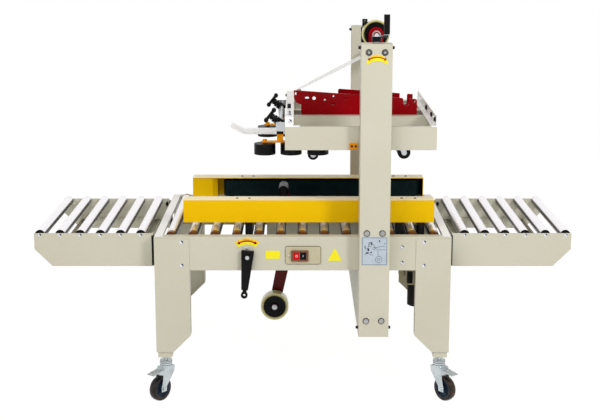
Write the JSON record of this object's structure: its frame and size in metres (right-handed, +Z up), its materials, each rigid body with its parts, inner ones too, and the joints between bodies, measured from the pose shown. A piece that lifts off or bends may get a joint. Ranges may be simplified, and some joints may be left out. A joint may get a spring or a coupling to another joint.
{
  "type": "carton sealer",
  "caption": "Side-belt carton sealer with roller bed, infeed and discharge roller tables, a crank-raised tape head between its masts, and swivel casters.",
  "frame": {"origin": "on the floor under the middle of the bed", "axes": "+X the way cartons travel, +Y from the operator side to the far side, +Z up"},
  "size_m": [1.996, 0.914, 1.436],
  "materials": {
    "cream_paint": "smooth semi-gloss powder coat",
    "white_paint": "smooth semi-gloss powder coat",
    "roller_chrome": "polished plated tube",
    "roller_zinc": "bright satin tube with dark ends",
    "caster_zinc": "zinc plated pressing",
    "caster_tread": "dark polyurethane with a faint sheen",
    "screw_steel": "turned steel",
    "carriage_iron": "machined dark casting",
    "orange_paint": "gloss paint",
    "red_paint": "deep glossy enamel",
    "maroon_paint": "glossy enamel",
    "arm_steel": "plated steel",
    "black_rubber": "smooth ground rubber",
    "black_plastic": "fine moulded texture",
    "clamp_bar_steel": "plated round bar",
    "roll_tape": "wound film, slightly translucent at the edge",
    "clear_tape": "clear film",
    "yellow_paint": "gloss powder coat",
    "drive_belt": "dark blue-green rough-top belt",
    "motor_black": "black enamel"
  },
  "bodies": {
    "frame": {"bed_end_discharge": "white_paint", "bed_end_infeed": "white_paint", "bed_rollers": "roller_chrome", "bed_side_back": "cream_paint", "bed_side_front": "cream_paint", "belt_guides": "screw_steel", "leg_discharge_back": "cream_paint", "leg_discharge_front": "cream_paint", "leg_infeed_back": "cream_paint", "leg_infeed_front": "cream_paint", "lift_screws": "screw_steel", "lower_head_plates": "maroon_paint", "lower_head_rollers": "black_rubber", "lower_rails": "cream_paint", "lower_roll_arm": "maroon_paint", "mast_back": "cream_paint", "mast_base": "cream_paint", "mast_front": "cream_paint", "mast_top_beam": "cream_paint", "roll_arm": "black_plastic", "roll_holder": "red_paint", "switch_panel": "cream_paint", "table_frame_discharge": "cream_paint", "table_frame_infeed": "cream_paint", "table_rollers_discharge": "roller_zinc", "table_rollers_infeed": "roller_zinc"},
    "head": {"head_side_front": "cream_paint", "head_side_back": "cream_paint", "head_end_infeed": "white_paint", "head_end_discharge": "white_paint", "head_rails": "cream_paint", "lift_carriages": "carriage_iron", "guide_blocks": "orange_paint", "upper_head_plates": "red_paint", "upper_head_arms": "arm_steel", "upper_head_rollers": "black_rubber", "flap_ski": "white_paint", "clamp_bar": "clamp_bar_steel", "press_roller_arms": "orange_paint", "press_roller_clamps": "black_plastic", "press_rollers": "black_rubber", "tape_web": "clear_tape"},
    "front_belt_unit": {"belt_cover_front": "yellow_paint", "belt_front": "drive_belt", "motor_front": "motor_black"},
    "back_belt_unit": {"belt_cover_back": "yellow_paint", "belt_back": "drive_belt", "motor_back": "motor_black"},
    "height_crank": {"height_crank": "black_plastic"},
    "width_crank": {"width_crank": "black_plastic"},
    "upper_tape_roll": {"upper_tape_roll": "roll_tape"},
    "lower_tape_roll": {"lower_tape_roll": "roll_tape"},
    "caster_infeed_front": {"caster_fork_infeed_front": "caster_zinc"},
    "wheel_infeed_front": {"caster_wheel_infeed_front": "caster_tread"},
    "caster_infeed_back": {"caster_fork_infeed_back": "caster_zinc"},
    "wheel_infeed_back": {"caster_wheel_infeed_back": "caster_tread"},
    "caster_discharge_front": {"caster_fork_discharge_front": "caster_zinc"},
    "wheel_discharge_front": {"caster_wheel_discharge_front": "caster_tread"},
    "caster_discharge_back": {"caster_fork_discharge_back": "caster_zinc"},
    "wheel_discharge_back": {"caster_wheel_discharge_back": "caster_tread"}
  },
  "joints": [
    {"name": "head_lift", "type": "slide", "parent": "frame", "child": "head", "axis": [0, 0, 1], "range_m": [-0.14, 0.09], "deforming": ["tape_web"]},
    {"name": "height_crank_turn", "type": "hinge", "parent": "frame", "child": "height_crank", "pos_m": [0.259, -0.416, 1.35], "axis": [0, 0, 1], "range_deg": [-2521, 1621]},
    {"name": "belt_width", "type": "slide", "parent": "frame", "child": "front_belt_unit", "axis": [0, 1, 0], "range_m": [-0.068, 0.105]},
    {"name": "belt_width_back", "type": "slide", "parent": "frame", "child": "back_belt_unit", "axis": [0, 1, 0], "range_m": [-0.106, 0.069]},
    {"name": "width_crank_turn", "type": "hinge", "parent": "frame", "child": "width_crank", "pos_m": [-0.2025, -0.388, 0.56], "axis": [0, 1, 0], "range_deg": [-1225, 1891]},
    {"name": "upper_roll_turn", "type": "hinge", "parent": "frame", "child": "upper_tape_roll", "pos_m": [0.28, 0, 1.34], "axis": [0, 1, 0], "continuous": true},
    {"name": "lower_roll_turn", "type": "hinge", "parent": "frame", "child": "lower_tape_roll", "pos_m": [-0.111, 0, 0.258], "axis": [0, 1, 0], "continuous": true},
    {"name": "caster_infeed_front_swivel", "type": "hinge", "parent": "frame", "child": "caster_infeed_front", "pos_m": [-0.5135, -0.353, 0.128], "axis": [0, 0, 1], "continuous": true},
    {"name": "wheel_infeed_front_roll", "type": "hinge", "parent": "caster_infeed_front", "child": "wheel_infeed_front", "pos_m": [-0.53443, -0.37979, 0.0475], "axis": [0.788, -0.6157, 0], "continuous": true},
    {"name": "caster_infeed_back_swivel", "type": "hinge", "parent": "frame", "child": "caster_infeed_back", "pos_m": [-0.5135, 0.353, 0.128], "axis": [0, 0, 1], "continuous": true},
    {"name": "wheel_infeed_back_roll", "type": "hinge", "parent": "caster_infeed_back", "child": "wheel_infeed_back", "pos_m": [-0.53443, 0.37979, 0.0475], "axis": [-0.788, -0.6157, 0], "continuous": true},
    {"name": "caster_discharge_front_swivel", "type": "hinge", "parent": "frame", "child": "caster_discharge_front", "pos_m": [0.5135, -0.353, 0.128], "axis": [0, 0, 1], "continuous": true},
    {"name": "wheel_discharge_front_roll", "type": "hinge", "parent": "caster_discharge_front", "child": "wheel_discharge_front", "pos_m": [0.53443, -0.37979, 0.0475], "axis": [0.788, 0.6157, 0], "continuous": true},
    {"name": "caster_discharge_back_swivel", "type": "hinge", "parent": "frame", "child": "caster_discharge_back", "pos_m": [0.5135, 0.353, 0.128], "axis": [0, 0, 1], "continuous": true},
    {"name": "wheel_discharge_back_roll", "type": "hinge", "parent": "caster_discharge_back", "child": "wheel_discharge_back", "pos_m": [0.53443, 0.37979, 0.0475], "axis": [-0.788, 0.6157, 0], "continuous": true}
  ],
  "couplings": [
    {"joint": "height_crank_turn", "follows": "head_lift", "rad_per_m": 314.16},
    {"joint": "belt_width_back", "follows": "belt_width", "ratio": -1},
    {"joint": "width_crank_turn", "follows": "belt_width", "rad_per_m": 314.16}
  ]
}
